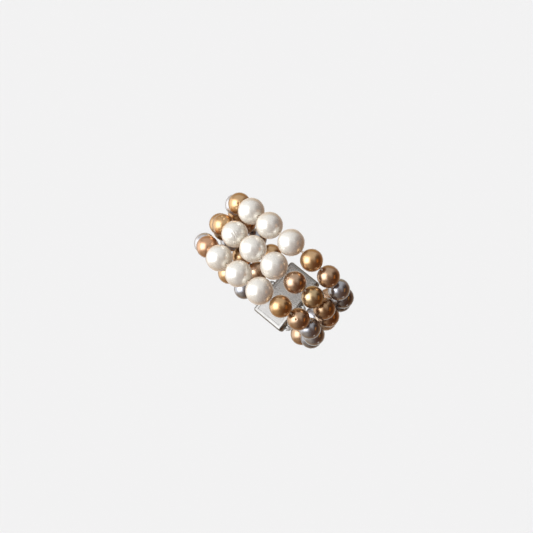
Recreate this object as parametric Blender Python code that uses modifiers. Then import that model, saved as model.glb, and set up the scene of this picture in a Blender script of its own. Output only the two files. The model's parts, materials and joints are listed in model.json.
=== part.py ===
"""A bracelet of three pearl strands on one box clasp, in metres, +Z up.

The strands go round the loop side by side. X runs across the loop, Y along the
way something goes through it, and Z from the clasp at the underside to the nine
large white pearls on top. The origin is the middle of the opening.
"""

from math import acos, asin, copysign, cos, pi, radians, sin, sqrt

import bmesh
import bpy
from mathutils import Matrix, Quaternion, Vector

# Pearls
WHITE_DIAMETER = 0.0118
FIRST_WHITE_DIAMETER = 0.0114
GOLD_DIAMETER = 0.0097
GREY_DIAMETER = 0.0094
PEARL_GAP = 0.0003
STRAND_GAP = 0.0003
PEARL_SIDES = 16
PEARL_ARC_STEPS = 7

# Silk thread, with a loop of covered thread at each end
THREAD_DIAMETER = 0.0009
HOLE_PLAY = 0.00035
END_LOOP_WIRE = 0.0011
KNOT_ROOM = 0.0009
THREAD_BEVEL_STEPS = 2

# Box clasp with three rings on each side
CLASP_LENGTH = 0.0172
CLASP_THICKNESS = 0.0045
CLASP_EDGE_ROOM = 0.0040
CLASP_ROUNDING = 0.0012
CLASP_ROUNDING_STEPS = 2
RING_WIRE = 0.0009
RING_SEAT = 0.0004
EYE_PLAY = 0.0004
EYE_SIDES = 12
EYE_WIRE_SIDES = 6

# The loop as it is worn: its section's depth as a share of its width, the power of
# the rounded oval (2 is an ellipse), and how far the top leans along Y from the clasp
LOOP_DEPTH_SHARE = 0.80
LOOP_POWER = 2.37
LOOP_LEAN = 0.0085

# Share of the extra room between the strands that the white pearls need, at each
# pearl counted from the middle white one
SPREAD_SHARES = (1.0, 1.0, 0.77, 0.44, 0.08, 0.0, 0.0, 0.0)

# Name, side of the middle strand, X of the middle white pearl, and the pearls from
# the clasp's -X side over the top to its +X side
STRANDS = (
    ("front", 1, -0.0047, "gold grey bronze gold silver gold white_first white white "
                          "gold bronze grey slate night bronze"),
    ("middle", 0, -0.0040, "bronze gold grey gold gold gold white_first white white "
                           "bronze olive bronze bronze champagne grey"),
    ("back", -1, -0.0021, "grey gold bronze grey silver rose white_first white white "
                          "gold bronze grey grey slate bronze"),
)
MIDDLE_PEARL = 7

# Diameter, sRGB colour and metallic value of each kind of pearl
PEARL_KINDS = {
    "white_first": (FIRST_WHITE_DIAMETER, (0.93, 0.89, 0.83), 0.0),
    "white": (WHITE_DIAMETER, (0.93, 0.89, 0.83), 0.0),
    "gold": (GOLD_DIAMETER, (0.80, 0.60, 0.30), 0.5),
    "bronze": (GOLD_DIAMETER, (0.66, 0.46, 0.26), 0.5),
    "rose": (GOLD_DIAMETER, (0.78, 0.56, 0.44), 0.5),
    "olive": (GOLD_DIAMETER, (0.62, 0.52, 0.26), 0.5),
    "champagne": (GOLD_DIAMETER, (0.84, 0.76, 0.62), 0.4),
    "silver": (GREY_DIAMETER, (0.78, 0.77, 0.76), 0.4),
    "grey": (GREY_DIAMETER, (0.52, 0.52, 0.54), 0.5),
    "slate": (GREY_DIAMETER, (0.38, 0.39, 0.41), 0.5),
    "night": (GREY_DIAMETER, (0.24, 0.25, 0.27), 0.5),
}
PEARL_ROUGHNESS = 0.15
SILK = ((0.86, 0.80, 0.72), 0.7, 0.0)
WHITE_METAL = ((0.80, 0.79, 0.77), 0.25, 1.0)

# What follows from the sizes above
HOLE_RADIUS = (THREAD_DIAMETER / 2 + HOLE_PLAY) / cos(pi / PEARL_SIDES)
EYE_RADIUS = (RING_WIRE + END_LOOP_WIRE) / 2 + EYE_PLAY
HITCH_OUT = 2 * EYE_RADIUS - RING_SEAT
HITCH_TO_PEARL = EYE_RADIUS + END_LOOP_WIRE / 2 + KNOT_ROOM
HITCH_SPAN = CLASP_LENGTH + 2 * HITCH_OUT
WIDEST_WHITE = max(WHITE_DIAMETER, FIRST_WHITE_DIAMETER)
WIDEST_SMALL = max(GOLD_DIAMETER, GREY_DIAMETER)
WHITE_PITCH = WIDEST_WHITE + STRAND_GAP
SMALL_PITCH = WIDEST_SMALL + STRAND_GAP
CLASP_WIDTH = 2 * (SMALL_PITCH + CLASP_EDGE_ROOM)

# How finely the loop is searched and its mesh is welded and shaded
BISECTIONS = 34
SEARCH_STEP = 0.15
SLOPE_STEP = 0.001
WELD_DISTANCE = 0.00001
SHARP_ANGLE = radians(40)


def clear_scene():
    for old in list(bpy.data.objects):
        bpy.data.objects.remove(old, do_unlink=True)


def make_collection(name):
    collection = bpy.data.collections.new(name)
    bpy.context.scene.collection.children.link(collection)
    return collection


def keep_in(obj, collection):
    """Moves the object to this collection alone."""
    for other in list(obj.users_collection):
        other.objects.unlink(obj)
    collection.objects.link(obj)


def make_material(name, colour, roughness, metallic):
    material = bpy.data.materials.new(name)
    material.use_nodes = True
    shader = material.node_tree.nodes["Principled BSDF"]
    shader.inputs["Base Color"].default_value = (*colour, 1.0)
    shader.inputs["Roughness"].default_value = roughness
    shader.inputs["Metallic"].default_value = metallic
    return material


def bisect(too_low, low, high):
    """The value between low and high where too_low stops being true."""
    for _ in range(BISECTIONS):
        middle = (low + high) / 2
        if too_low(middle):
            low = middle
        else:
            high = middle
    return (low + high) / 2


class Loop:
    """The rounded oval that the strands follow. Its angle is 0 on top and grows towards +X."""

    def __init__(self, half_width):
        self.half_width = half_width
        self.half_depth = half_width * LOOP_DEPTH_SHARE

    def section(self, angle):
        power = 2 / LOOP_POWER
        across = copysign(self.half_width * abs(sin(angle)) ** power, sin(angle))
        up = copysign(self.half_depth * abs(cos(angle)) ** power, cos(angle))
        return across, up

    def angle_at(self, across):
        """The angle on top where the section is this far across."""
        share = (abs(across) / self.half_width) ** (LOOP_POWER / 2)
        return copysign(asin(share), across)

    def centre(self, angle, offset):
        """The place of a pearl whose strand lies this far along Y from the middle one."""
        across, up = self.section(angle)
        drop = (self.half_depth - up) / (2 * self.half_depth)
        before = Vector(self.section(angle - SLOPE_STEP))
        after = Vector(self.section(angle + SLOPE_STEP))
        climb = (after - before).normalized().y
        slope = LOOP_LEAN * drop / self.half_depth * climb
        along = offset * sqrt(1 + slope * slope) + LOOP_LEAN * (0.5 - drop * drop)
        return Vector((across, along, up))

    def hitch(self, angle, side):
        """Where a strand's end loop hangs on its ring."""
        across, up = self.section(angle)
        return Vector((across, side * SMALL_PITCH - LOOP_LEAN / 2, up))


def advance(start, angle, chord, way, place):
    """The angle, from this one on, where place is a chord's length away from start."""
    near = 0.0
    far = SEARCH_STEP
    while (place(angle + way * far) - start).length < chord and far < pi:
        near = far
        far += SEARCH_STEP
    turn = bisect(lambda m: (place(angle + way * m) - start).length < chord, near, far)
    return angle + way * turn


def strand_offset(side, steps):
    return side * (SMALL_PITCH + (WHITE_PITCH - SMALL_PITCH) * SPREAD_SHARES[steps])


def lay_half(loop, strand, way, gap):
    """Places of the pearls from the middle white one to one end, and the end's angle."""
    _name, side, middle_x, kinds = strand
    diameters = [PEARL_KINDS[kind][0] for kind in kinds.split()]
    index = MIDDLE_PEARL
    angle = loop.angle_at(middle_x)
    places = {index: loop.centre(angle, strand_offset(side, 0))}
    for steps in range(1, MIDDLE_PEARL + 1):
        last = places[index]
        chord = (diameters[index] + diameters[index + way]) / 2 + gap
        index += way
        offset = strand_offset(side, steps)
        angle = advance(last, angle, chord, way, lambda a: loop.centre(a, offset))
        places[index] = loop.centre(angle, offset)
    reach = diameters[index] / 2 + HITCH_TO_PEARL
    angle = advance(places[index], angle, reach, way, lambda a: loop.hitch(a, side))
    return places, angle


def loop_ends(loop):
    """The angles where the longest strand on each side of the clasp ends."""
    left = min(lay_half(loop, strand, -1, PEARL_GAP)[1] for strand in STRANDS)
    right = max(lay_half(loop, strand, 1, PEARL_GAP)[1] for strand in STRANDS)
    return left + 2 * pi, right


def room_for_clasp(loop):
    left, right = loop_ends(loop)
    span = (Vector(loop.section(left)) - Vector(loop.section(right))).length
    return copysign(span, left - right)


def close_loop():
    """The loop on which the longest halves and the clasp meet end to end."""
    narrowest = MIDDLE_PEARL * WIDEST_SMALL / 4
    widest = MIDDLE_PEARL * WIDEST_WHITE
    half_width = bisect(
        lambda size: room_for_clasp(Loop(size)) < HITCH_SPAN, narrowest, widest
    )
    return Loop(half_width)


def lay_strand(loop, strand, left, right):
    """All the pearls' places. A shorter half shares its slack among its gaps."""
    places = {}
    for way, end in ((-1, left - 2 * pi), (1, right)):
        gap = bisect(
            lambda g: way * lay_half(loop, strand, way, g)[1] < way * end,
            PEARL_GAP,
            PEARL_GAP + WIDEST_SMALL / 2,
        )
        places.update(lay_half(loop, strand, way, gap)[0])
    return [places[index] for index in sorted(places)]


def pearl_mesh(diameter):
    """The outline of a drilled pearl, down its outer side and up the wall of its hole."""
    radius = diameter / 2
    mouth = asin(HOLE_RADIUS / radius)
    outline = bmesh.new()
    points = []
    for step in range(PEARL_ARC_STEPS + 1):
        angle = mouth + (pi - 2 * mouth) * step / PEARL_ARC_STEPS
        points.append(outline.verts.new((radius * sin(angle), 0, radius * cos(angle))))
    for first, second in zip(points, points[1:] + points[:1]):
        outline.edges.new((first, second))
    mesh = bpy.data.meshes.new("pearl_outline")
    outline.to_mesh(mesh)
    outline.free()
    mesh.materials.append(None)
    return mesh


def make_pearl(name, mesh, place, direction, material, collection):
    pearl = bpy.data.objects.new(name, mesh)
    collection.objects.link(pearl)
    turn = pearl.modifiers.new("turned", "SCREW")
    turn.steps = PEARL_SIDES
    turn.render_steps = PEARL_SIDES
    turn.use_merge_vertices = True
    turn.merge_threshold = WELD_DISTANCE
    turn.use_smooth_shade = True
    pearl.location = place
    pearl.rotation_mode = "QUATERNION"
    pearl.rotation_quaternion = direction.to_track_quat("Z", "Y")
    pearl.material_slots[0].link = "OBJECT"
    pearl.material_slots[0].material = material
    return pearl


def make_eye(name, wire, place, turn, collection):
    """A small round ring of wire, a helper that is joined to another piece."""
    bpy.ops.mesh.primitive_torus_add(
        major_segments=EYE_SIDES,
        minor_segments=EYE_WIRE_SIDES,
        major_radius=EYE_RADIUS,
        minor_radius=wire / 2,
    )
    eye = bpy.context.object
    eye.name = name
    eye.location = place
    eye.rotation_mode = "QUATERNION"
    eye.rotation_quaternion = turn
    eye.hide_render = True
    eye.display_type = "WIRE"
    keep_in(eye, collection)
    return eye


def join_to(obj, other):
    union = obj.modifiers.new("with " + other.name, "BOOLEAN")
    union.operation = "UNION"
    union.solver = "EXACT"
    union.object = other


def make_thread(name, route, material, collection):
    """A tube along the route, made a closed mesh so that its end loops can join it."""
    curve = bpy.data.curves.new(name + "_route", "CURVE")
    curve.dimensions = "3D"
    curve.bevel_depth = THREAD_DIAMETER / 2
    curve.bevel_resolution = THREAD_BEVEL_STEPS
    curve.use_fill_caps = True
    spline = curve.splines.new("POLY")
    spline.points.add(len(route) - 1)
    for point, place in zip(spline.points, route):
        point.co = (*place, 1.0)
    guide = bpy.data.objects.new(name + "_route", curve)
    collection.objects.link(guide)
    graph = bpy.context.evaluated_depsgraph_get()
    mesh = bpy.data.meshes.new_from_object(guide.evaluated_get(graph))
    tube = bmesh.new()
    tube.from_mesh(mesh)
    bmesh.ops.remove_doubles(tube, verts=tube.verts, dist=WELD_DISTANCE)
    tube.to_mesh(mesh)
    tube.free()
    mesh.materials.clear()
    mesh.materials.append(material)
    mesh.name = name
    thread = bpy.data.objects.new(name, mesh)
    thread.matrix_world = guide.matrix_world
    collection.objects.link(thread)
    bpy.data.objects.remove(guide, do_unlink=True)
    return thread


def hole_directions(places, hitches):
    """The way of each pearl's hole: halfway between the ways to its neighbours."""
    chain = [hitches[0], *places, hitches[1]]
    ways = []
    for before, here, after in zip(chain, chain[1:], chain[2:]):
        ways.append(((here - before).normalized() + (after - here).normalized()).normalized())
    return ways


def make_strand(loop, strand, left, right, meshes, materials, part, helpers):
    name, side, _middle_x, kinds = strand
    kinds = kinds.split()
    places = lay_strand(loop, strand, left, right)
    hitches = [loop.hitch(left, side), loop.hitch(right, side)]
    ways = hole_directions(places, hitches)
    route = []
    for number, (kind, place, way) in enumerate(zip(kinds, places, ways), 1):
        diameter = PEARL_KINDS[kind][0]
        node = f"{name}_pearl_{number:02d}"
        make_pearl(node, meshes[diameter], place, way, materials[kind], part)
        mouth = sqrt((diameter / 2) ** 2 - HOLE_RADIUS**2)
        route += [place - way * mouth, place + way * mouth]
    upright = Quaternion((1, 0, 0), pi / 2)
    eyes = []
    for hitch, end in zip(hitches, (0, -1)):
        outward = route[end] - hitch
        outward.y = 0
        eyes.append(hitch + outward.normalized() * EYE_RADIUS)
    thread = make_thread(
        name + "_thread", [eyes[0], *route, eyes[1]], materials["thread"], part
    )
    for number, hitch in enumerate(hitches, 1):
        eye_name = f"{name}_end_loop_{number}"
        join_to(thread, make_eye(eye_name, END_LOOP_WIRE, hitch, upright, helpers))


def make_clasp(loop, left, right, material, part, helpers):
    """The box lies between the strands' ends, with a flat ring for each of them."""
    ends = [loop.hitch(left, 0), loop.hitch(right, 0)]
    middle = (ends[0] + ends[1]) / 2
    along = (ends[1] - ends[0]).normalized()
    tilt = Quaternion((0, 1, 0), copysign(acos(min(1.0, along.x)), -along.z))

    bpy.ops.mesh.primitive_cube_add(size=1)
    clasp = bpy.context.object
    clasp.name = "clasp"
    clasp.data.transform(
        Matrix.Diagonal((CLASP_LENGTH, CLASP_WIDTH, CLASP_THICKNESS, 1.0))
    )
    clasp.location = middle
    clasp.rotation_mode = "QUATERNION"
    clasp.rotation_quaternion = tilt
    clasp.data.materials.append(material)
    keep_in(clasp, part)
    rounding = clasp.modifiers.new("rounded", "BEVEL")
    rounding.width = CLASP_ROUNDING
    rounding.segments = CLASP_ROUNDING_STEPS
    rounding.limit_method = "ANGLE"
    rounding.angle_limit = SHARP_ANGLE

    for way in (-1, 1):
        for name, side, _middle_x, _kinds in STRANDS:
            out = CLASP_LENGTH / 2 + EYE_RADIUS - RING_SEAT
            local = Vector((way * out, side * SMALL_PITCH, 0))
            ring_name = f"{name}_ring_{'left' if way < 0 else 'right'}"
            ring = make_eye(ring_name, RING_WIRE, middle + tilt @ local, tilt, helpers)
            join_to(clasp, ring)
    clasp.data.set_sharp_from_angle(angle=SHARP_ANGLE)
    return clasp


def main():
    clear_scene()
    part = make_collection("pearl_bracelet")
    helpers = make_collection("joined_helpers")
    materials = {
        kind: make_material(kind + "_pearl", colour, PEARL_ROUGHNESS, metallic)
        for kind, (_diameter, colour, metallic) in PEARL_KINDS.items()
    }
    materials["thread"] = make_material("silk_thread", *SILK)
    materials["clasp"] = make_material("white_metal", *WHITE_METAL)
    meshes = {kind[0]: pearl_mesh(kind[0]) for kind in PEARL_KINDS.values()}
    loop = close_loop()
    left, right = loop_ends(loop)
    for strand in STRANDS:
        make_strand(loop, strand, left, right, meshes, materials, part, helpers)
    make_clasp(loop, left, right, materials["clasp"], part, helpers)


main()
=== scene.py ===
"""The looks of the pearl bracelet: nacre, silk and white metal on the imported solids.

Metres, +Z up. The strands are named front, middle and back, and each one's pearls are
numbered from the clasp's -X side over the top to its +X side.
"""

import json
from math import asin, cos, pi, radians, sin, sqrt, tau
from random import Random

import bmesh
import bpy
import numpy as np
from mathutils import Euler, Matrix, Vector, noise


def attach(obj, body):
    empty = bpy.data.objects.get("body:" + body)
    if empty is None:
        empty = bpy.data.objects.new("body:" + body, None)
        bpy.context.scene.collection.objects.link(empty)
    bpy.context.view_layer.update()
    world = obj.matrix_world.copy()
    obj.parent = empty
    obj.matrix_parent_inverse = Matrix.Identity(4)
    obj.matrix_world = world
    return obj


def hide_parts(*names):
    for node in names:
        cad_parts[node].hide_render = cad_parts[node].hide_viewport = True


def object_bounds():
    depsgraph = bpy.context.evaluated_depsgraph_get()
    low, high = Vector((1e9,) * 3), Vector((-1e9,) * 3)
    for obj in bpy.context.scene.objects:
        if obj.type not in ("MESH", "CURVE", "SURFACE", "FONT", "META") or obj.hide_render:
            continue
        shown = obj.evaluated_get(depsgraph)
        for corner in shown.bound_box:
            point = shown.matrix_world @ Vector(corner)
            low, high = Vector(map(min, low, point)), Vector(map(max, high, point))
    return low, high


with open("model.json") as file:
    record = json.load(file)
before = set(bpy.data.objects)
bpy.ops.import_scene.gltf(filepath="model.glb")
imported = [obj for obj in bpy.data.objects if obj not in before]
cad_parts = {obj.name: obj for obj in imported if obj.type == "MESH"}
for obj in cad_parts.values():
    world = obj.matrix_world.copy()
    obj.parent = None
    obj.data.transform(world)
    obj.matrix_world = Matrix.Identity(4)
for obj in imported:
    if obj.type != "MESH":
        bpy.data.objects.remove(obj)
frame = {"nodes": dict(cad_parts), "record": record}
cad_box = [list(corner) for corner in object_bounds()]

# The plain transform keeps the pearls' colours as bright as the studio gives them
bpy.context.scene.view_settings.view_transform = "Standard"

MM = 0.001

# Camera, at the photograph's viewing angle
CAMERA_PLACE = Vector((0.23824, 0.01676, 0.60457))
CAMERA_TURN = Euler([radians(angle) for angle in (12.96, 17.79, 40.62)])
CAMERA_LENS = 100.08
CAMERA_NEAR = 10 * MM

# The picture's own axes, fixed in the bracelet's frame: to its right, up, and out of it
RIGHT, UP, OUT = (Vector(axis) for axis in CAMERA_TURN.to_matrix().transposed())

# Floor, as far below the held bracelet as the camera is away, so that it never hides the
# underside
FLOOR_DROP = 700 * MM
FLOOR_SIZE = 8.0

# Pearls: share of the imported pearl's radius, which narrows the gaps that the solids keep,
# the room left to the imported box, and the turned steps
PEARL_SHARE = 1.012
BOX_ROOM = 0.02 * MM
PEARL_STEPS = 72
ARC_STEPS = 40

# How far from round they are: height of the swells, how many there are across a radius,
# and how much shorter the most oval one is along its hole
UNEVENNESS = 0.006
SWELLS = 1.4
MOST_OVAL = 0.010

# The drilled hole and its eased mouth, whose steps are shares of its radius and depth
MOUTH_RADIUS = 0.72 * MM
HOLE_RADIUS = 0.50 * MM
MOUTH_DEPTH = 0.45 * MM
MOUTH_STEPS = ((0.92, 0.12), (0.80, 0.40), (HOLE_RADIUS / MOUTH_RADIUS, 1.0))

# Marks grown into the nacre, where the picture shows them: kind, shares of the radius to the
# right and up, reach and depth in mm. A depth below 0 stands out.
MARKS = {
    "front_pearl_06": [("pit", -0.05, 0.00, 0.44, 0.50), ("pit", 0.07, 0.11, 0.36, -0.12),
                       ("ring", -0.29, -0.36, 0.60, 0.05)],
    "middle_pearl_06": [("pit", -0.14, 0.74, 0.46, 0.50), ("ring", 0.02, 0.49, 0.80, 0.16),
                        ("pit", -0.33, 0.60, 0.36, 0.14)],
    "middle_pearl_07": [("creases", 0.10, -0.08, 3.0, 0.17)],
    "middle_pearl_08": [("creases", 0.40, 0.15, 2.4, 0.03)],
    "back_pearl_08": [("grain", 0.25, 0.05, 3.2, 0.05)],
    "middle_pearl_10": [("pit", -0.62, 0.34, 0.42, 0.50), ("pit", -0.80, 0.25, 0.32, 0.25)],
    "back_pearl_11": [("pit", -0.23, 0.01, 0.42, 0.50), ("pit", -0.44, 0.33, 0.36, 0.30)],
}
MARK_GRAIN = 0.55 * MM
FINEST_FACE = 0.10 * MM

# Creases: width of a fold, how far and over what length it wanders, and the way across the
# folds as the picture sees it (right, up)
CREASE_WIDTH = 1.3 * MM
CREASE_BEND = 3.5
CREASE_BEND_LENGTH = 1.8 * MM
CREASE_WAY = (0.9, 0.44)

# Strands: how many strand widths each lies along +Y from the middle one
STRANDS = {"front": 1, "middle": 0, "back": -1}
STRAND_PEARLS = 15

# Silk: three plies twisted into one thread, each pressed a little into the others, and
# knotted between the pearls
PLIES = 3
PLY_RADIUS = 0.19 * MM
PLY_PRESS = 1.05
PLY_TURN = 2.4 * MM
PLY_POINTS = 10
KNOT_RADIUS = 0.36 * MM
KNOT_LOBE = 0.42
KNOT_DEPTH = 0.15 * MM
KNOT_PLY = 0.14 * MM
KNOT_POINTS = 48

# The clasp's rings, sunk a little into its box
EYE_RADIUS = 1.4 * MM
RING_WIRE = 0.9 * MM
RING_SEAT = 0.4 * MM
RING_SIDES = 10
RING_STEPS = 32

# Fine wire coiled round the thread where it turns through the rings
COIL_WIRE = 0.20 * MM
COIL_OUTER = 0.54 * MM
COIL_TURNS = 38
COIL_POINTS = 10

# Clasp box: rounded edges, and a face sunk a little inside the rim on both sides
CLASP_ROUNDING = 1.2 * MM
ROUNDING_STEPS = 6
RIM_WIDTH = 1.0 * MM
STEP_WIDTH = 0.15 * MM
STEP_DEPTH = 0.18 * MM

# Flush cuts to either side of one place, a share of the box's half length from its middle.
# They split faces and move nothing.
CUT_PLACE = 0.60
CUT_SPREAD = 0.08 * MM

# Two points of a mesh closer than this are one
WELD = 0.001 * MM


def linear(code):
    """The linear colour of an sRGB hex value such as #F1F1F1."""
    parts = [int(code[place : place + 2], 16) / 255 for place in (1, 3, 5)]
    return tuple(p / 12.92 if p <= 0.04045 else ((p + 0.055) / 1.055) ** 2.4 for p in parts)


def rgba(code):
    """The same colour with full cover, as a colour socket takes it."""
    return (*linear(code), 1.0)


def per_metre(size_mm):
    """A texture's scale for a pattern whose features are this many millimetres wide."""
    return 1 / (size_mm * MM)


def add_node(tree, kind, inputs=None, **settings):
    """Adds a node. Each input takes a value or another node's output."""
    node = tree.nodes.new(kind)
    for name, value in settings.items():
        setattr(node, name, value)
    for name, value in (inputs or {}).items():
        if isinstance(value, bpy.types.NodeSocket):
            tree.links.new(value, node.inputs[name])
        else:
            node.inputs[name].default_value = value
    return node


def new_material(name):
    """A node material with its Principled shader."""
    material = bpy.data.materials.new(name)
    material.use_nodes = True
    return material, material.node_tree, material.node_tree.nodes["Principled BSDF"]


# Nacre of cultured pearls: thin crystal layers over a shell bead, polished by hand. It mirrors
# softly through its depth, so the body looks metallic under a clear, smooth skin. A pale
# pearl's edge glows warm, as light leaves it again through the layers.
# Name: body colour, second tone, share of mirror, roughness, the skin's own roughness, glow
# at the edge, mottling
NACRES = {
    "white": ("#F0EEE6", "#EBE4D6", 0.31, 0.27, 0.18, 0.6, 0.03),
    "gold": ("#D6AE7E", "#CEA168", 0.90, 0.29, 0.12, 0.0, 0.08),
    "bronze": ("#C4A182", "#B89268", 0.90, 0.27, 0.12, 0.0, 0.08),
    "rose": ("#D8AE8A", "#D09C72", 0.88, 0.29, 0.12, 0.0, 0.08),
    "olive": ("#CDAF88", "#C3A56E", 0.90, 0.27, 0.12, 0.0, 0.08),
    "champagne": ("#E4D2BC", "#DAC5A8", 0.60, 0.30, 0.14, 0.3, 0.10),
    "silver": ("#DDDDDF", "#D3D3D7", 0.75, 0.27, 0.12, 0.0, 0.06),
    "grey": ("#B8B8BC", "#AEAEB2", 0.88, 0.25, 0.12, 0.0, 0.08),
    "slate": ("#9F9FA4", "#939398", 0.88, 0.25, 0.12, 0.0, 0.08),
    "night": ("#85858A", "#77777D", 0.88, 0.25, 0.12, 0.0, 0.08),
}


def nacre(name, body, second, mirror, roughness, skin, glow, mottling):
    """Tones as wide as a pearl, mottles of 2.2 mm, and a growth relief of 1.4 mm."""
    material, tree, shader = new_material(name + "_nacre")
    place = add_node(tree, "ShaderNodeTexCoord").outputs["Object"]
    tone = add_node(tree, "ShaderNodeTexNoise",
                    {"Vector": place, "Scale": per_metre(14), "Detail": 1.0})
    mottle = add_node(tree, "ShaderNodeTexNoise",
                      {"Vector": place, "Scale": per_metre(2.2), "Detail": 4.0})
    tone_share = add_node(tree, "ShaderNodeMapRange",
                          {"Value": tone.outputs["Fac"], "From Min": 0.3, "From Max": 0.7})
    toned = add_node(tree, "ShaderNodeMix",
                     {0: tone_share.outputs["Result"], 6: rgba(body), 7: rgba(second)},
                     data_type="RGBA")
    shade = add_node(tree, "ShaderNodeMapRange",
                     {"Value": mottle.outputs["Fac"], "From Min": 0.3, "From Max": 0.7,
                      "To Min": 1.0 - mottling, "To Max": 1.0})
    mottled = add_node(tree, "ShaderNodeVectorMath",
                       {0: toned.outputs[2], 1: shade.outputs["Result"]},
                       operation="MULTIPLY")
    gloss = add_node(tree, "ShaderNodeMapRange",
                     {"Value": mottle.outputs["Fac"], "From Min": 0.3, "From Max": 0.7,
                      "To Min": roughness + 0.03, "To Max": roughness - 0.03})
    growth = add_node(tree, "ShaderNodeTexNoise",
                      {"Vector": place, "Scale": per_metre(1.4), "Detail": 2.0})
    relief = add_node(tree, "ShaderNodeBump",
                      {"Height": growth.outputs["Fac"], "Strength": 1.0, "Distance": 0.006 * MM})
    tree.links.new(mottled.outputs[0], shader.inputs["Base Color"])
    tree.links.new(gloss.outputs["Result"], shader.inputs["Roughness"])
    tree.links.new(relief.outputs["Normal"], shader.inputs["Normal"])
    shader.inputs["Metallic"].default_value = mirror
    shader.inputs["Sheen Weight"].default_value = glow
    shader.inputs["Sheen Roughness"].default_value = 0.4
    shader.inputs["Sheen Tint"].default_value = rgba("#FFCB94")
    shader.inputs["Coat Weight"].default_value = 0.8
    shader.inputs["Coat Roughness"].default_value = skin
    # Nacre's own index lies between 1.53 and 1.69
    shader.inputs["Coat IOR"].default_value = 1.6
    return material


def silk():
    """Silk cord: twisted filament, with a soft sheen along its plies.

    Real filament is about 0.01 mm wide. It is drawn at 0.15 mm, so that it shows.
    """
    material, tree, shader = new_material("twisted_silk")
    place = add_node(tree, "ShaderNodeTexCoord").outputs["Object"]
    fibres = add_node(tree, "ShaderNodeTexNoise",
                      {"Vector": place, "Scale": per_metre(0.15), "Detail": 3.0})
    colour = add_node(tree, "ShaderNodeMix",
                      {0: fibres.outputs["Fac"], 6: rgba("#F1E4D3"), 7: rgba("#E2CDB6")},
                      data_type="RGBA")
    relief = add_node(tree, "ShaderNodeBump",
                      {"Height": fibres.outputs["Fac"], "Strength": 0.6, "Distance": 0.03 * MM})
    tree.links.new(colour.outputs[2], shader.inputs["Base Color"])
    tree.links.new(relief.outputs["Normal"], shader.inputs["Normal"])
    shader.inputs["Roughness"].default_value = 0.55
    shader.inputs["Sheen Weight"].default_value = 0.5
    shader.inputs["Sheen Roughness"].default_value = 0.35
    return material


def white_metal():
    """Rhodium over silver: a satin plate, brushed finely along the bracelet. Its dark tone is
    painted shade, for the shadow inside the bracelet round the clasp.

    Real brushing is about 0.05 mm wide. It is drawn at 0.25 mm, so that it shows.
    """
    material, tree, shader = new_material("rhodium_plate_painted_shade")
    place = add_node(tree, "ShaderNodeTexCoord").outputs["Object"]
    along = add_node(tree, "ShaderNodeMapping", {"Vector": place, "Scale": (0.06, 1, 0.4)})
    brushing = add_node(tree, "ShaderNodeTexNoise",
                        {"Vector": along.outputs["Vector"], "Scale": per_metre(0.25),
                         "Detail": 3.0})
    wear = add_node(tree, "ShaderNodeTexNoise",
                    {"Vector": place, "Scale": per_metre(5), "Detail": 3.0})
    gloss = add_node(tree, "ShaderNodeMapRange",
                     {"Value": brushing.outputs["Fac"], "From Min": 0.3, "From Max": 0.7,
                      "To Min": 0.24, "To Max": 0.36})
    # Two dark tones mixed at random: their darkness is painted shade, for the shadow inside the
    # bracelet, and the mix gives the plate its uneven tone
    tone = add_node(tree, "ShaderNodeMix",
                    {0: wear.outputs["Fac"], 6: rgba("#8A8782"), 7: rgba("#98958F")},
                    data_type="RGBA")
    relief = add_node(tree, "ShaderNodeBump",
                      {"Height": brushing.outputs["Fac"], "Strength": 0.5,
                       "Distance": 0.004 * MM})
    tree.links.new(tone.outputs[2], shader.inputs["Base Color"])
    tree.links.new(gloss.outputs["Result"], shader.inputs["Roughness"])
    tree.links.new(relief.outputs["Normal"], shader.inputs["Normal"])
    shader.inputs["Metallic"].default_value = 1.0
    return material


def coiled_wire_metal():
    """Silver-plated copper wire, drawn very fine, so it stays smooth."""
    material, tree, shader = new_material("silver_wire")
    shader.inputs["Base Color"].default_value = rgba("#DAD8D4")
    shader.inputs["Metallic"].default_value = 1.0
    shader.inputs["Roughness"].default_value = 0.28
    return material


class PackedPearl:
    """A packed pearl's centre, radius and hole direction, measured on its solid."""

    def __init__(self, node):
        mesh = frame["nodes"][node].data
        points = np.unique(np.round([vertex.co[:] for vertex in mesh.vertices], 7), axis=0)
        centre = points.mean(axis=0)
        spread = points - centre
        self.centre = Vector(centre)
        self.radius = float(np.linalg.norm(spread, axis=1).max())
        self.hole = Vector(np.linalg.eigh(spread.T @ spread)[1][:, 2])


def read_strand(name):
    """The strand's pearls in order, with each hole pointing along the strand."""
    pearls = [PackedPearl(f"{name}_pearl_{n:02d}") for n in range(1, STRAND_PEARLS + 1)]
    for number, pearl in enumerate(pearls):
        before = pearls[max(number - 1, 0)].centre
        after = pearls[min(number + 1, STRAND_PEARLS - 1)].centre
        if pearl.hole.dot(after - before) < 0:
            pearl.hole.negate()
    return pearls


def finish_piece(bm, name, material, *nodes, slot):
    """Makes the mesh a piece that rides on the bracelet and stands for the nodes."""
    for face in bm.faces:
        face.smooth = True
    mesh = bpy.data.meshes.new(name)
    bm.to_mesh(mesh)
    bm.free()
    mesh.materials.append(material)
    piece = bpy.data.objects.new(name, mesh)
    bpy.context.scene.collection.objects.link(piece)
    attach(piece, "root")
    if nodes:
        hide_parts(*nodes)
    return piece


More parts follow.
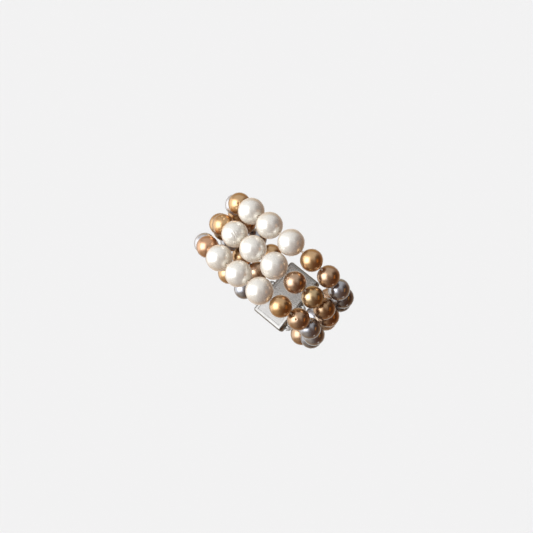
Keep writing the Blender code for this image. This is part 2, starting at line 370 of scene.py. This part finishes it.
def turned_pearl(radius):
    """A pearl about Z: an arc from mouth to mouth, eased into its hole, and spun round."""
    bm = bmesh.new()
    mouth = asin(MOUTH_RADIUS / radius)
    high = bm.verts.new((radius * sin(mouth), 0, radius * cos(mouth)))
    arc = bmesh.ops.spin(bm, geom=[high], axis=(0, 1, 0), cent=(0, 0, 0),
                         angle=pi - 2 * mouth, steps=ARC_STEPS)
    low = next(part for part in arc["geom_last"] if isinstance(part, bmesh.types.BMVert))
    bottoms = []
    for rim in (high, low):
        way = 1 if rim.co.z > 0 else -1
        for across, depth in MOUTH_STEPS:
            step = bmesh.ops.extrude_vert_indiv(bm, verts=[rim])["verts"][0]
            step.co.x = across * MOUTH_RADIUS
            step.co.z = way * (radius * cos(mouth) - depth * MOUTH_DEPTH)
            rim = step
        bottoms.append(rim)
    bm.edges.new(bottoms)
    bmesh.ops.spin(bm, geom=bm.verts[:] + bm.edges[:], axis=(0, 0, 1), cent=(0, 0, 0),
                   angle=tau, steps=PEARL_STEPS, use_merge=True)
    bmesh.ops.remove_doubles(bm, verts=bm.verts, dist=WELD)
    bmesh.ops.recalc_face_normals(bm, faces=bm.faces)
    return bm


def make_uneven(bm, radius, seed):
    """Cultured pearls aren't true spheres: a little oval, with slow swells."""
    chance = Random(seed)
    oval = 1 - chance.uniform(0, MOST_OVAL)
    shift = Vector([chance.uniform(-50, 50) for _ in range(3)])
    for vertex in bm.verts:
        in_hole = vertex.co.length < 0.9 * radius
        if not in_hole:
            swell = noise.noise(vertex.co / radius * SWELLS + shift)
            vertex.co *= 1 + UNEVENNESS * swell
            vertex.co.z *= oval


def mark_depth(kind, share, place):
    """A mark's depth as a share of its deepest, from its middle (0) to its edge (1)."""
    fade = (1 - share**2) ** 2
    if kind == "pit":
        return fade
    if kind == "ring":
        return 1.2 * fade * (1 - cos(tau * share))
    if kind == "creases":
        bend = CREASE_BEND * noise.noise(place / CREASE_BEND_LENGTH)
        return fade * (0.5 + 0.5 * sin(tau * place.x / CREASE_WIDTH + bend)) ** 2
    return fade * noise.noise(place / MARK_GRAIN)


def mark_pearl(bm, radius, turn, marks):
    """Refines the faces under each mark, sets them on the sphere, and presses the mark in."""
    to_pearl = turn.inverted()
    across = to_pearl @ (RIGHT * CREASE_WAY[0] + UP * CREASE_WAY[1])
    along = to_pearl @ (UP * CREASE_WAY[0] - RIGHT * CREASE_WAY[1])
    for kind, right, up, reach, depth in marks:
        way = RIGHT * right + UP * up + OUT * sqrt(1 - right**2 - up**2)
        middle = to_pearl @ way * radius
        reach *= MM
        # Three faces to a grain of the nacre, and six from a small mark's middle to its edge
        finest = max(min(reach / 6, MARK_GRAIN / 3), FINEST_FACE)
        for _ in range(3):
            near = [edge for edge in bm.edges if edge.calc_length() > finest
                    and all((end.co - middle).length < 1.5 * reach for end in edge.verts)]
            if near:
                bmesh.ops.subdivide_edges(bm, edges=near, cuts=1, use_grid_fill=True)
        for vertex in bm.verts:
            offset = vertex.co - middle
            if offset.length < 1.6 * reach and vertex.co.length > 0.97 * radius:
                vertex.co.length = radius
                share = min(offset.length / reach, 1.0)
                place = Vector((offset.dot(across), offset.dot(along), 0))
                vertex.co.length -= depth * MM * mark_depth(kind, share, place)


def room_in_box(place):
    """How far a pearl at this place may reach inside the whole bracelet's packed box."""
    low, high = cad_box
    return min(min(p - a, b - p) for p, a, b in zip(place, low, high)) - BOX_ROOM


def make_pearl(name, packed, material, slot, seed):
    """Turns the pearl, marks it, makes it uneven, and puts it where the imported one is."""
    radius = min(packed.radius * PEARL_SHARE, room_in_box(packed.centre))
    turn = packed.hole.to_track_quat("Z", "Y").to_matrix()
    bm = turned_pearl(radius)
    mark_pearl(bm, radius, turn, MARKS.get(name, ()))
    make_uneven(bm, radius, seed)
    bmesh.ops.transform(bm, matrix=Matrix.Translation(packed.centre) @ turn.to_4x4(),
                        verts=bm.verts)
    finish_piece(bm, name + "_nacre", material, name, slot=slot)


def make_pearls(strands):
    """Each pearl takes the nacre that its packed slot is named for."""
    nacres = {kind: nacre(kind, *finish) for kind, finish in NACRES.items()}
    slots = {part["node"]: part["material_slot"] for part in frame["record"]["subparts"]}
    seed = 0
    for name, pearls in strands.items():
        for number, packed in enumerate(pearls, 1):
            node = f"{name}_pearl_{number:02d}"
            slot = slots[node]
            seed += 1
            make_pearl(node, packed, nacres[slot.removesuffix("_pearl")], slot, seed)


def wire_mesh(bm, points, radius, closed=False):
    """Adds a wire with six sides along the points to the mesh."""
    curve = bpy.data.curves.new("wire", "CURVE")
    curve.dimensions = "3D"
    curve.bevel_depth = radius
    curve.bevel_resolution = 1
    curve.use_fill_caps = not closed
    spline = curve.splines.new("POLY")
    spline.points.add(len(points) - 1)
    for point, place in zip(spline.points, points):
        point.co = (*place, 1.0)
    spline.use_cyclic_u = closed
    guide = bpy.data.objects.new("wire", curve)
    bpy.context.scene.collection.objects.link(guide)
    mesh = bpy.data.meshes.new_from_object(
        guide.evaluated_get(bpy.context.evaluated_depsgraph_get())
    )
    bm.from_mesh(mesh)
    bpy.data.objects.remove(guide, do_unlink=True)
    bpy.data.curves.remove(curve)
    bpy.data.meshes.remove(mesh)


def clasp_frame():
    """The clasp's middle, its way along the strands, its flat way, and its half sizes."""
    copy = bmesh.new()
    copy.from_mesh(frame["nodes"]["clasp"].data)
    bmesh.ops.remove_doubles(copy, verts=copy.verts, dist=WELD)
    bmesh.ops.dissolve_limit(copy, angle_limit=radians(1), verts=copy.verts, edges=copy.edges)
    widest = max(copy.faces, key=lambda face: face.calc_area())
    flat = widest.normal.copy()
    if flat.z < 0:
        flat.negate()
    along = Vector((0, 1, 0)).cross(flat).normalized()
    axes = (along, Vector((0, 1, 0)), flat)
    reaches = [[vertex.co.dot(axis) for vertex in copy.verts] for axis in axes]
    middle = sum((axis * (min(r) + max(r)) / 2 for axis, r in zip(axes, reaches)), Vector())
    halves = [(max(r) - min(r)) / 2 for r in reaches]
    copy.free()
    return middle, along, flat, halves


def three_ply(bm, route):
    """Three plies twisted round each other along a smooth route."""
    lengths = [0.0]
    for before, after in zip(route, route[1:]):
        lengths.append(lengths[-1] + (after - before).length)
    stations = np.arange(0, lengths[-1], PLY_TURN / PLY_POINTS)
    line = [Vector(p) for p in np.stack(
        [np.interp(stations, lengths, [point[axis] for point in route]) for axis in range(3)],
        axis=1,
    )]
    across = Vector((0, 1, 0))
    plies = [[] for _ in range(PLIES)]
    for number, (place, reach) in enumerate(zip(line, stations)):
        ahead = line[min(number + 1, len(line) - 1)] - line[max(number - 1, 0)]
        side = ahead.cross(across).normalized()
        other = ahead.cross(side).normalized()
        for index, ply in enumerate(plies):
            angle = tau * (reach / PLY_TURN + index / PLIES)
            ply.append(place + (side * cos(angle) + other * sin(angle)) * PLY_RADIUS)
    for ply in plies:
        wire_mesh(bm, ply, PLY_RADIUS * PLY_PRESS)


def knot(bm, place, way):
    """A small overhand knot pulled tight round the strand."""
    turn = way.to_track_quat("Z", "Y")
    points = []
    for step in range(KNOT_POINTS):
        angle = tau * step / KNOT_POINTS
        reach = KNOT_RADIUS * (1 + KNOT_LOBE * cos(3 * angle))
        local = Vector((reach * cos(2 * angle), reach * sin(2 * angle),
                        KNOT_DEPTH * sin(3 * angle)))
        points.append(place + turn @ local)
    wire_mesh(bm, points, KNOT_PLY, closed=True)


def thread_ends(hitches, pearls):
    """Where the silk leaves the rings: on the side of the strand's first and last pearl."""
    ends = []
    for hitch, pearl in zip(hitches, (pearls[0], pearls[-1])):
        out = pearl.centre - hitch
        out.y = 0
        ends.append(hitch + out.normalized() * EYE_RADIUS)
    return ends


def make_thread(name, pearls, ends, material):
    """The strand's silk from ring to ring, with a knot in each gap between the pearls."""
    route = [ends[0]]
    knots = []
    for pearl in pearls:
        reach = pearl.hole * sqrt(pearl.radius**2 - HOLE_RADIUS**2)
        route += [pearl.centre - reach, pearl.centre + reach]
    route.append(ends[1])
    for start, stop in zip(route[0::2], route[1::2]):
        knots.append(((start + stop) / 2, (stop - start).normalized()))
    bm = bmesh.new()
    three_ply(bm, route)
    for place, way in knots:
        knot(bm, place, way)
    finish_piece(bm, name + "_silk", material, name + "_thread", slot="silk_thread")


def make_coils(name, hitches, material):
    """The fine wire coils that guard the silk in the clasp's rings."""
    bm = bmesh.new()
    middle_of_wire = COIL_OUTER - COIL_WIRE / 2
    for hitch in hitches:
        points = []
        for step in range(COIL_TURNS * COIL_POINTS):
            turn = tau * step / (COIL_TURNS * COIL_POINTS)
            wind = tau * step / COIL_POINTS
            out = Vector((cos(turn), 0, sin(turn)))
            place = hitch + out * (EYE_RADIUS + middle_of_wire * cos(wind))
            place.y += middle_of_wire * sin(wind)
            points.append(place)
        wire_mesh(bm, points, COIL_WIRE / 2, closed=True)
    finish_piece(bm, name + "_end_coils", material, slot="clasp_metal")


def make_clasp(middle, along, flat, halves, pitch, material):
    """A plain three-row box clasp: softly rounded, with sunk faces and six rings."""
    half_box = halves[0] - RING_WIRE / 2 - 2 * EYE_RADIUS + RING_SEAT
    bm = bmesh.new()
    bmesh.ops.create_cube(bm, size=2.0)
    bmesh.ops.scale(bm, vec=(half_box, halves[1], halves[2]), verts=bm.verts)
    bmesh.ops.bevel(bm, geom=bm.edges[:], offset=CLASP_ROUNDING, segments=ROUNDING_STEPS,
                    profile=0.5, affect="EDGES", material=-1)
    for side in (-1, 1):
        face = max(bm.faces, key=lambda f: f.calc_area() * (f.normal.z * side > 0.9))
        bmesh.ops.inset_region(bm, faces=[face], thickness=RIM_WIDTH, depth=0)
        bmesh.ops.inset_region(bm, faces=[face], thickness=STEP_WIDTH, depth=-STEP_DEPTH)
    for cut in (CUT_PLACE * half_box - CUT_SPREAD, CUT_PLACE * half_box + CUT_SPREAD):
        bmesh.ops.bisect_plane(bm, geom=bm.verts[:] + bm.edges[:] + bm.faces[:],
                               plane_co=(cut, 0, 0), plane_no=(1, 0, 0))
    for ring_side in (-1, 1):
        for side in STRANDS.values():
            ring = bmesh.ops.create_circle(bm, segments=RING_SIDES,
                                           radius=RING_WIRE / 2)["verts"]
            edges = list({edge for vertex in ring for edge in vertex.link_edges})
            centre = Vector((ring_side * (half_box + EYE_RADIUS - RING_SEAT), side * pitch, 0))
            bmesh.ops.rotate(bm, verts=ring, matrix=Matrix.Rotation(pi / 2, 3, "X"))
            bmesh.ops.translate(bm, verts=ring, vec=centre + Vector((EYE_RADIUS, 0, 0)))
            bmesh.ops.spin(bm, geom=ring + edges, cent=centre, axis=(0, 0, 1), angle=tau,
                           steps=RING_STEPS, use_merge=True)
    bmesh.ops.remove_doubles(bm, verts=bm.verts, dist=WELD)
    bmesh.ops.recalc_face_normals(bm, faces=bm.faces)
    turn = Matrix((along, Vector((0, 1, 0)), flat)).transposed().to_4x4()
    bmesh.ops.transform(bm, matrix=Matrix.Translation(middle) @ turn, verts=bm.verts)
    piece = finish_piece(bm, "box_clasp", material, "clasp", slot="clasp_metal")
    piece.data.set_sharp_from_angle(angle=radians(35))


def make_camera():
    """The camera that sees the bracelet as the photograph does."""
    camera = bpy.data.objects.new("camera", bpy.data.cameras.new("camera"))
    bpy.context.scene.collection.objects.link(camera)
    camera.location = CAMERA_PLACE
    camera.rotation_euler = CAMERA_TURN
    camera.data.lens = CAMERA_LENS
    camera.data.clip_start = CAMERA_NEAR
    bpy.context.scene.camera = camera


# The studio's walls, as (left, right) of the picture, in front of the bracelet and behind it,
# and the pale end wall straight behind, which lights the underside
WALLS = {"front": ("#98918A", "#60391B"), "behind": ("#BC9E78", "#9A7656")}
END_WALL = "#D2CEC8"

# Soft light panels in front of the walls, each over the ones before it, placed as the picture
# sees them: the way to the middle (right, up, out), half its width and height as sines, soft
# edge, colour, strength
PANELS = {
    "ceiling": ((-0.10, 0.84, 0.54), 0.66, 0.70, 0.22, "#F0F2F5", 0.84),
    "left_wall": ((-0.98, 0.06, -0.15), 0.45, 0.48, 0.20, "#FAFAFA", 1.5),
    "upper_wall": ((0.00, 0.84, -0.55), 0.45, 0.30, 0.20, "#BB9E70", 1.0),
    "warm_card": ((-0.61, -0.77, 0.18), 0.35, 0.30, 0.25, "#FFEBD2", 0.55),
    "window": ((-0.78, 0.06, 0.63), 0.41, 0.43, 0.26, "#F3F7FF", 4.8),
    "dark_card": ((0.88, 0.07, 0.48), 0.34, 0.50, 0.08, "#2E1E14", 1.0),
    "lamp": ((0.86, -0.08, 0.50), 0.12, 0.26, 0.07, "#E8962E", 0.9),
    "low_strip": ((0.49, -0.84, -0.20), 0.12, 0.05, 0.04, "#FFFAF4", 1.8),
}


def share_along(tree, way, axis, start, stop):
    """The share, eased from 0 to 1, as the way's part along the axis goes from start to stop."""
    reach = add_node(tree, "ShaderNodeVectorMath", {0: way, 1: axis}, operation="DOT_PRODUCT")
    share = add_node(tree, "ShaderNodeMapRange",
                     {"Value": reach.outputs["Value"], "From Min": start, "From Max": stop},
                     interpolation_type="SMOOTHSTEP")
    return share.outputs["Result"]


def blend(tree, share, under, over):
    """The colour under, covered by the other one in this share."""
    mix = add_node(tree, "ShaderNodeMix", {0: share, 6: under, 7: over}, data_type="RGBA")
    return mix.outputs[2]


def panel_share(tree, way, middle, half_width, half_height, soft):
    """Where a panel covers the view: 1 inside its soft edge, and 0 outside."""
    centre = (RIGHT * middle[0] + UP * middle[1] + OUT * middle[2]).normalized()
    across = UP.cross(centre).normalized()
    same_side = share_along(tree, way, centre, 0.0, 0.1)
    share = same_side
    for axis, half in ((across, half_width), (centre.cross(across), half_height)):
        for side in (axis, -axis):
            inside = share_along(tree, way, side, half + soft, half - soft)
            share = add_node(tree, "ShaderNodeMath", {0: share, 1: inside},
                             operation="MULTIPLY").outputs[0]
    return share


def make_studio():
    """Plain soft light from all round, brighter panels, and a pale ground for the camera."""
    world = bpy.data.worlds.new("studio")
    bpy.context.scene.world = world
    world.use_nodes = True
    tree = world.node_tree
    tree.nodes.clear()
    way = add_node(tree, "ShaderNodeTexCoord").outputs["Object"]
    # Each wall fades into the next: left into right, front into behind, and that into the end
    to_right = share_along(tree, way, RIGHT, -0.8, 0.5)
    front, behind = (blend(tree, to_right, *map(rgba, walls)) for walls in WALLS.values())
    light = blend(tree, share_along(tree, way, OUT, 0.0, -0.5), front, behind)
    light = blend(tree, share_along(tree, way, OUT, -0.60, -0.85), light, rgba(END_WALL))
    for *shape, colour, strength in PANELS.values():
        glow = (*(Vector(linear(colour)) * strength), 1.0)
        light = blend(tree, panel_share(tree, way, *shape), light, glow)
    path = add_node(tree, "ShaderNodeLightPath")
    seen = blend(tree, path.outputs["Is Camera Ray"], light, rgba("#F2F2F2"))
    background = add_node(tree, "ShaderNodeBackground", {"Color": seen})
    add_node(tree, "ShaderNodeOutputWorld", {"Surface": background.outputs[0]})


def make_floor(height):
    """A plain pale floor, which the pearls don't mirror."""
    bm = bmesh.new()
    bmesh.ops.create_grid(bm, x_segments=1, y_segments=1, size=FLOOR_SIZE / 2)
    mesh = bpy.data.meshes.new("floor")
    bm.to_mesh(mesh)
    bm.free()
    floor = bpy.data.objects.new("floor", mesh)
    bpy.context.scene.collection.objects.link(floor)
    floor.location.z = height
    floor.visible_glossy = False
    floor.visible_diffuse = False
    material, _tree, shader = new_material("pale_paper")
    shader.inputs["Base Color"].default_value = rgba("#DEDDD9")
    shader.inputs["Roughness"].default_value = 1.0
    shader.inputs["Specular IOR Level"].default_value = 0.0
    mesh.materials.append(material)


def main():
    make_camera()
    make_studio()
    make_floor(cad_box[0][2] - FLOOR_DROP)
    strands = {name: read_strand(name) for name in STRANDS}
    make_pearls(strands)
    middle, along, flat, halves = clasp_frame()
    pitch = strands["middle"][0].centre.y - strands["back"][0].centre.y
    make_clasp(middle, along, flat, halves, pitch, white_metal())
    thread_silk = silk()
    coil_metal = coiled_wire_metal()
    hitch_out = halves[0] - RING_WIRE / 2
    for name, side in STRANDS.items():
        row = middle + Vector((0, side * pitch, 0))
        hitches = [row - along * hitch_out, row + along * hitch_out]
        make_thread(name, strands[name], thread_ends(hitches, strands[name]), thread_silk)
        make_coils(name, hitches, coil_metal)


main()
